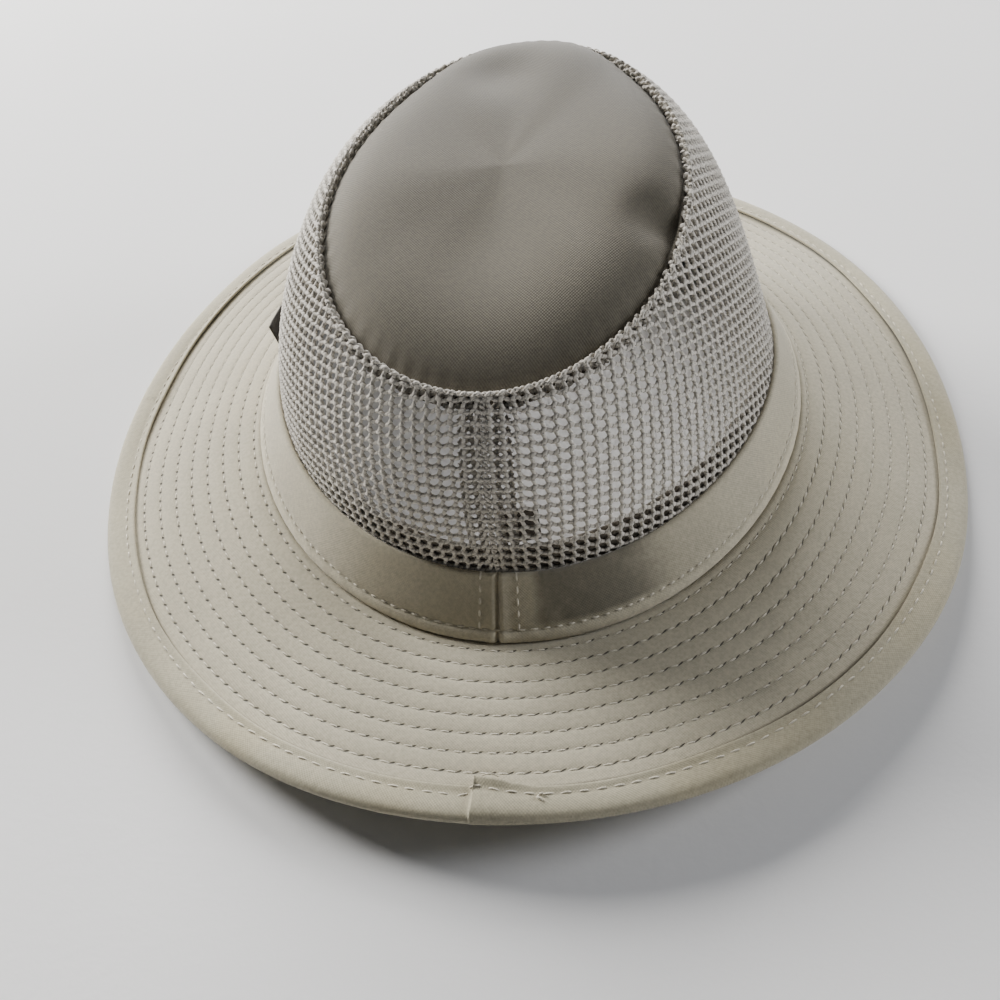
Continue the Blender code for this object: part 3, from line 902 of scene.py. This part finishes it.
def seam_pinch(at, rise):
    """Depth of the groove where the band's ends are sewn together at the back."""
    distance = np.radians(at - SEAM_ANGLE) * HEAD_WIDTH / 2
    groove = 0.0013 * np.exp(-(distance / 0.00050) ** 2)
    return groove - 0.00042 * np.exp(-((np.abs(distance) - 0.0017) / 0.0012) ** 2)


def band_piece(finish):
    seam = SEAM_ANGLE + np.linspace(-1.2, 1.2, 17)
    even = even_angles(STATIONS)
    angles = np.sort(np.concatenate((even[np.abs(even - SEAM_ANGLE) > 1.25], seam)))
    rises, relief = np.array(BAND_PROFILE).T
    at = np.broadcast_to(angles[:, None], (len(angles), len(rises)))
    pucker = 0.00010 * np.sin(np.radians(at) * 74 + rises * 900) * np.exp(-((rises - 0.0045) / 0.004) ** 2)
    slow = ripple(at, 31, (3, 5, 8, 13), 0.00020) * np.sin(math.pi * rises / BAND_HEIGHT)
    proud = relief + pucker + slow - seam_pinch(at, rises)
    outer = band_face(at, np.broadcast_to(rises, at.shape), proud)
    inner_foot = BAND_HEIGHT * (foot_share(angles, -CLEARANCE) + 1)
    behind = np.full_like(angles, -BAND_THICKNESS)
    inner = [band_face(angles, rise, behind) for rise in (np.full_like(angles, BAND_HEIGHT), inner_foot)]
    sections = np.concatenate((outer, np.stack(inner, axis=1)), axis=1)
    length = arc_length(band_face(angles, np.full_like(angles, 0.01)))
    heights = np.concatenate((rises, (BAND_HEIGHT, 0.0)))
    cloth = stack(length[:, None], heights)
    piece = ring_mesh("band_cloth", sections, {"cloth": cloth})
    finish_piece(piece, ["hat_band"], finish)


def band_stitches(finish):
    """One row round the turned fold and a short row down each side of the back seam."""
    at = full_turn()
    paths = [band_face(at, np.full_like(at, BAND_FOLD), np.full_like(at, -0.00022))]
    facing = [slant(at)[2]]
    for distance in BAND_SEAM_ROWS:
        rise = np.linspace(BAND_FOLD + 0.0012, BAND_HEIGHT - 0.0012, 9)
        angle = np.full_like(rise, SEAM_ANGLE + math.degrees(distance / (HEAD_WIDTH / 2)))
        paths.append(band_face(angle, rise, np.full_like(rise, 0.00002)))
        facing.append(slant(angle)[2])
    piece = grow("band_stitches", paths, {"facing": facing}, stitch_tree(), finish, BAND_STITCHES)
    finish_piece(piece, [])


# Net

def net_plan():
    """Angles against distance round the wall, and the size of the wall laid out flat.

    Laid flat, the wall is a sector of a ring whose middle line is the back seam, and the net's
    columns and rows run straight across it.
    """
    at = np.linspace(90.0, 270.0, 721)
    foot_line = arc_length(net_face(at, 0.0))
    top_line = arc_length(net_face(at, 1.0))
    middle_line = arc_length(net_face(at, 0.4))
    half_turn = (foot_line[-1] - top_line[-1]) / MEAN_WALL
    return at, middle_line / middle_line[-1], half_turn, foot_line[-1] / half_turn


def net_paths(side, depth, keep=None, shift=(0.0, 0.0)):
    """Strands of one half of the net: columns and rows of the flat net, laid on the wall.

    keep says which points stay, from their share, distance from the seam and angle.
    """
    at_table, share_table, half_turn, radius = net_plan()
    tallest = float(wall_height(at_table).max()) * 1.08
    paths, thick = [], []
    across_count = int(radius / COLUMN_PITCH) + 2
    rise_count = int((radius + tallest) / ROW_PITCH) + 2
    for family in ("column", "row"):
        count = across_count if family == "column" else rise_count
        length = rise_count if family == "column" else across_count
        for line in range(count):
            cell = np.arange(0, length * STEPS + 1) / STEPS
            swing = 2 * math.pi * cell
            if family == "column":
                across = (line + 0.5 + shift[0] + 0.09 * np.sin(swing)) * COLUMN_PITCH
                up = (cell + shift[1]) * ROW_PITCH - radius
            else:
                across = (cell + shift[0] - 0.5) * COLUMN_PITCH
                up = (line + shift[1] + 0.12 * np.sin(swing + 0.6)) * ROW_PITCH - radius
            far = np.hypot(across, up)
            turn = np.arctan2(across, -up)
            part = turn / half_turn
            angle = np.interp(part, share_table, at_table)
            wall = wall_height(angle)
            bulge = WALL_SWELL * read_round("swell", angle) / wall
            share = (radius - far) / (wall * (1 + 0.5 * bulge ** 2))
            knot = 0.5 + 0.5 * np.cos(swing)
            thin = COLUMN_RADIUS if family == "column" else ROW_RADIUS
            size = thin + (KNOT_RADIUS - thin) * knot ** 2
            good = (across >= -0.0002) & (part >= 0) & (part <= 1.0) & (share > -0.16) & (share <= 1.0)
            if keep:
                good &= keep(share, across, angle)
            lift = (0.00010 if family == "row" else -0.00008) * np.cos(swing)
            start = 0
            for stop in range(1, len(good) + 1):
                if stop < len(good) and good[stop] and good[stop - 1]:
                    continue
                if good[start] and stop - start >= 2:
                    run = slice(start, stop)
                    place = angle[run] if side < 0 else 180.0 - angle[run]
                    paths.append(layer(place, share[run], depth - lift[run]))
                    thick.append(size[run])
                start = stop
    return paths, thick


def in_hem(share, across, angle):
    return share > 1 - HEM_HEIGHT / wall_height(angle)


def in_seam(share, across, angle):
    return (across < NET_SEAM_WIDTH / 2) & (share < 1 - HEM_HEIGHT / wall_height(angle)) & (share > 0)


def net_pieces(finish):
    tree = strand_tree()
    fold_depth = INSIDE_NET + NET_THICKNESS / 2
    for title, node, *lay in (
        ("net", "crown_net", NET_THICKNESS / 2),
        ("net_fold", "net_hem", fold_depth, in_hem, FOLD_SHIFT),
        ("net_seam_fold", "net_seam", fold_depth, in_seam, FOLD_SHIFT),
    ):
        for side, half in ((1, "left"), (-1, "right")):
            paths, thick = net_paths(side, *lay)
            piece = grow(title + "_" + half, paths, {"thick": thick}, tree, finish)
            finish_piece(piece, [node])


def net_edges(finish):
    """Looped top edge of the net, and the seams where its two halves meet."""
    tree = strand_tree()
    at = np.linspace(0, 360, 1201)
    length = arc_length(net_face(at, 1.0))
    loops = round(length[-1] / COLUMN_PITCH)
    swing = 2 * math.pi * loops * length / length[-1]
    paths, thick = [], []
    for lag, depth in ((0.0, 0.0002), (math.pi, 0.0012)):
        lower = 0.0003 + FRONT_ROLL * at_front(at)
        share = 1.0 + (0.00038 * np.cos(swing + lag) - lower) / wall_height(at)
        paths.append(layer(at, share, depth + 0.0003 * np.sin(swing + lag)))
        thick.append(EDGE_RADIUS + 0.00016 * np.cos(swing + lag))
    for centre, reach in ((90.0, 0.0006), (270.0, 0.0007)):
        share = np.linspace(-0.1, 1.0, 121)
        for lag in (0.0, math.pi):
            wave = 2 * math.pi * share * wall_height(centre) / 0.0027 + lag
            angle = centre + np.degrees(reach * np.sin(wave) / (HEAD_WIDTH / 2 * (1 - 0.4 * share)))
            paths.append(layer(angle, share, 0.0005 + 0.0003 * np.cos(wave)))
            thick.append(np.full_like(share, EDGE_RADIUS))
    piece = grow("net_edge", paths, {"thick": thick}, tree, finish)
    finish_piece(piece, [])


# Tip

def at_front(at):
    """One at the front of the crown, where the cloth rolls over the net's edge, falling to nothing."""
    return np.exp(-((np.asarray(at) % 360 - 270) / 38) ** 4)


def tip_piece(finish):
    angles = even_angles(TIP_STATIONS)
    turn = np.radians(angles)
    edges = layer(angles, 1.0, INSIDE_HEM - 0.9 * FRONT_ROLL * at_front(angles))
    edges[:, 2] += 0.35 * FRONT_ROLL * at_front(angles)
    rim = layer(angles, 1 - TIP_RIM / wall_height(angles), INSIDE_HEM)
    centre = layer(even_angles(72), 1.0, INSIDE_HEM).mean(axis=0)
    shares = 1 - np.linspace(0, 1, TIP_RINGS)[1:-1] ** 1.35
    points = [rim, edges]
    for share in shares:
        ring = centre + (edges - centre) * share
        ring[:, 2] += TIP_DOME * (1 - share ** DOME_FULLNESS)
        near_edge = np.exp(-((1 - share) / 0.05) ** 2)
        pucker = 0.00016 * np.sin(turn * 61 + 2.0 * np.sin(turn * 5)) * near_edge
        slow = ripple(angles, 41, (2, 3, 4, 6), 0.0006) * share ** 2 * (1 - share) * 4
        ring[:, 2] += pucker + slow
        points.append(ring)
    points = np.stack(points, axis=1)
    points[:, 2:, 2] -= tip_dent(points[:, 2:], centre, angles, edges)
    top = np.array(centre)
    top[2] += TIP_DOME - float(tip_dent(top[None], centre, angles, edges)[0])
    rings, width = points.shape[:2]
    faces = tube_faces(rings, width, True, False)
    pole = rings * width
    last = [ring * width + width - 1 for ring in range(rings)]
    faces += [(last[ring], last[(ring + 1) % rings], pole) for ring in range(rings)]
    flat = np.concatenate((points.reshape(-1, 3), top[None]))
    piece = add_mesh("tip_cloth", flat, faces, {"cloth": flat[:, :2]})
    solid = piece.modifiers.new("wall", "SOLIDIFY")
    solid.thickness = TIP_SHELL
    solid.offset = -1.0
    finish_piece(piece, ["crown_tip"], finish)


def tip_dent(points, centre, angles, edges):
    """How far the dents press the tip down at some points."""
    depth = np.zeros(points.shape[:-1])
    for dent in DENTS:
        edge = edges[int(round(dent.at / 360 * len(angles))) % len(angles)]
        place = centre + (edge - centre) * dent.out
        apart = np.hypot(points[..., 0] - place[0], points[..., 1] - place[1])
        depth = depth + dent.depth * TIP_DOME * np.exp(-(apart / (dent.reach * TIP_WIDTH)) ** 2)
    return depth


# Pieces inside the net, and the side tag

def sweatband_piece(finish):
    angles = even_angles(STATIONS)
    top = (SWEATBAND_HEIGHT - BAND_HEIGHT) / wall_height(angles)
    low = [np.full_like(angles, value) for value in (-1.0, -0.75, -0.5, -0.25, 0.0)]
    shares = np.stack(low + [top * 0.5, top * 0.9, top], axis=1)
    at = np.broadcast_to(angles[:, None], shares.shape)
    depth = np.full(shares.shape, INSIDE_NET)
    depth[:, 0] += 0.0004
    depth[:, -1] += 0.0004
    outer = layer(at, shares, depth)
    full = INSIDE_NET + SWEATBAND_THICKNESS + ripple(at, 51, (9, 14, 22), 0.0001)
    full[:, 0] -= 0.0004
    full[:, -1] -= 0.0004
    inner = layer(at, shares, full)
    sections = np.concatenate((outer, inner[:, ::-1]), axis=1)
    length = arc_length(layer(angles, 0.0, INSIDE_NET))
    heights = np.linspace(0, SWEATBAND_HEIGHT, shares.shape[1])
    heights = np.concatenate((heights, heights[::-1]))
    cloth = stack(length[:, None], heights)
    piece = ring_mesh("sweatband_cloth", sections, {"cloth": cloth})
    finish_piece(piece, ["sweatband"], finish)


def tab_piece(name, node, middle, width, radius, low, high, depth, finish, lean=0.0):
    """A blank woven tab on the wall, with rounded edges and a slight bow.

    middle is its angle, radius the wall's there, and lean how far its top stands off the wall.
    """
    columns = np.linspace(-1, 1, 17)
    rows = np.linspace(0, 1, 13)
    across, up = np.meshgrid(columns, rows, indexing="ij")
    share = low + (high - low) * up
    at = middle + np.degrees(across * width / 2 / radius)
    edge = np.minimum((1 - np.abs(across)) * 8, np.minimum(up, 1 - up) * 12)
    thick = TAB_HALF + TAB_HALF * np.clip(edge, 0, 1)
    bow = 0.00012 * np.sin(across * 2.3 + up * 3) - lean * up ** 1.5 * (0.75 + 0.25 * across)
    outer = layer(at, share, depth - thick + bow)
    inner = layer(at, share, depth + thick + bow)
    sections = np.concatenate((outer, inner[:, ::-1]), axis=1)
    count = sections.shape[1]
    faces = tube_faces(len(columns), count, False, True)
    faces.append(tuple(range(count)))
    faces.append(tuple(reversed(range((len(columns) - 1) * count, len(columns) * count))))
    rows_round = np.concatenate((rows, rows[::-1])) * 0.01
    length = stack(columns[:, None] * 0.006, rows_round)
    piece = add_mesh(name, sections, faces, {"cloth": length})
    fix_normals(piece)
    finish_piece(piece, [node], finish)


def small_tabs(label_finish, finish):
    radius = HEAD_WIDTH / 2
    middle = SEAM_ANGLE + math.degrees(LABEL_FROM_SEAM / radius)
    tall = float(wall_height(middle))
    low = (SWEATBAND_HEIGHT - BAND_HEIGHT + CLEARANCE) / tall
    depth = INSIDE_NET + NET_THICKNESS + LABEL_GAP + 0.0005
    tab_piece("label_blank", "inner_label", middle, LABEL_WIDTH, radius, low, low + LABEL_HEIGHT / tall,
              depth, label_finish)
    tall = float(wall_height(TAG_ANGLE))
    low = TAG_RISE / tall
    tab_piece("tag_blank", "side_tag", TAG_ANGLE, TAG_WIDTH, HEAD_LENGTH / 2, low, low + TAG_HEIGHT / tall,
              -CLEARANCE - 0.0005, finish, lean=0.0032)


# Camera, lights and floor

PHOTO_WIDTH = 1000
FOCAL_PIXELS = 1111.2
CAMERA_TURN = math.radians(9.80)
CAMERA_RISE = math.radians(44.95)
CAMERA_ROLL = math.radians(5.74)
CAMERA_DISTANCE = 0.4158
TARGET_RIGHT = -0.01364  # from the middle of the foot of the crown, to the right in the view
TARGET_DROP = 0.05486


def place_camera():
    """The photograph's view: from behind and above, rolled a little."""
    turn, rise, roll = CAMERA_TURN, CAMERA_RISE, CAMERA_ROLL
    back = Vector((-math.sin(turn) * math.cos(rise), math.cos(turn) * math.cos(rise), math.sin(rise)))
    right = Vector((-math.cos(turn), -math.sin(turn), 0.0))
    upward = back.cross(right)
    rolled_right = right * math.cos(roll) - upward * math.sin(roll)
    rolled_up = right * math.sin(roll) + upward * math.cos(roll)
    foot = Vector(MIDDLE) + Vector((0, 0, FOOT_HEIGHT + BRIM_THICKNESS / 2))
    target = foot + Vector((-TARGET_RIGHT, 0.0, -TARGET_DROP))
    data = bpy.data.cameras.new("photo_view")
    data.sensor_width = 36.0
    data.lens = FOCAL_PIXELS / PHOTO_WIDTH * data.sensor_width
    data.clip_start = 0.01
    camera = bpy.data.objects.new("photo_view", data)
    turned = Matrix((rolled_right, rolled_up, back)).transposed().to_4x4()
    camera.matrix_world = Matrix.Translation(target + back * CAMERA_DISTANCE) @ turned
    bpy.context.collection.objects.link(camera)
    bpy.context.scene.camera = camera


def add_light(name, place, size, power, colour):
    data = bpy.data.lights.new(name, "AREA")
    data.shape = "DISK"
    data.size = size
    data.energy = power
    data.color = colour
    lamp = bpy.data.objects.new(name, data)
    lamp.location = place
    lamp.rotation_euler = (Vector((0, 0, 0.05)) - Vector(place)).to_track_quat("-Z", "Y").to_euler()
    bpy.context.collection.objects.link(lamp)


def light_scene():
    add_light("window", (0.47, -1.76, 0.83), 1.10, 62.0, (1.0, 0.98, 0.95))
    add_light("window_left", (1.56, -0.92, 0.80), 0.90, 84.0, (1.0, 0.98, 0.94))
    add_light("right_fill", (-1.78, -0.35, 0.78), 0.90, 30.0, (0.97, 0.98, 1.0))
    world = bpy.data.worlds.new("soft room")
    world.use_nodes = True
    world.node_tree.nodes["Background"].inputs["Color"].default_value = (0.95, 0.97, 1.0, 1.0)
    world.node_tree.nodes["Background"].inputs["Strength"].default_value = 0.065
    bpy.context.scene.world = world


def lay_floor():
    side = 3.0
    points = [(-side, -side, 0.0), (side, -side, 0.0), (side, side, 0.0), (-side, side, 0.0)]
    floor = add_mesh("floor", points, [(0, 1, 2, 3)], smooth=False)
    floor.data.materials.append(floor_paint())


def build():
    place_camera()
    light_scene()
    lay_floor()
    thread = thread_paint("sewing thread", THREAD)
    brim_piece(woven_cloth("stitched brim cloth", CLOTH, rows=ROW_SPACE))
    brim_stitches(thread)
    binding_piece(woven_cloth("binding tape", TAPE, weave=0.00005, aged=0.35))
    binding_stitches(thread)
    loose_threads(thread)
    band_piece(woven_cloth("band cloth", CLOTH, fold=BAND_FOLD, darker_patch=DARKER_PATCH))
    band_stitches(thread)
    yarn = net_paint("net yarn", NET)
    net_pieces(yarn)
    net_edges(yarn)
    # the tip's cloth is painted darker as shade, and its front darker still
    tip_piece(woven_cloth("tip cloth in painted shade", TIP_CLOTH_IN_SHADE, weave=0.00009, aged=0.05, painted_shade=TIP_FRONT_SHADE))
    sweatband_piece(terry_paint("sweatband towelling", SWEAT))
    small_tabs(woven_cloth("label tape", LABEL), woven_cloth("dark woven tab", DARK_TAB))


build()
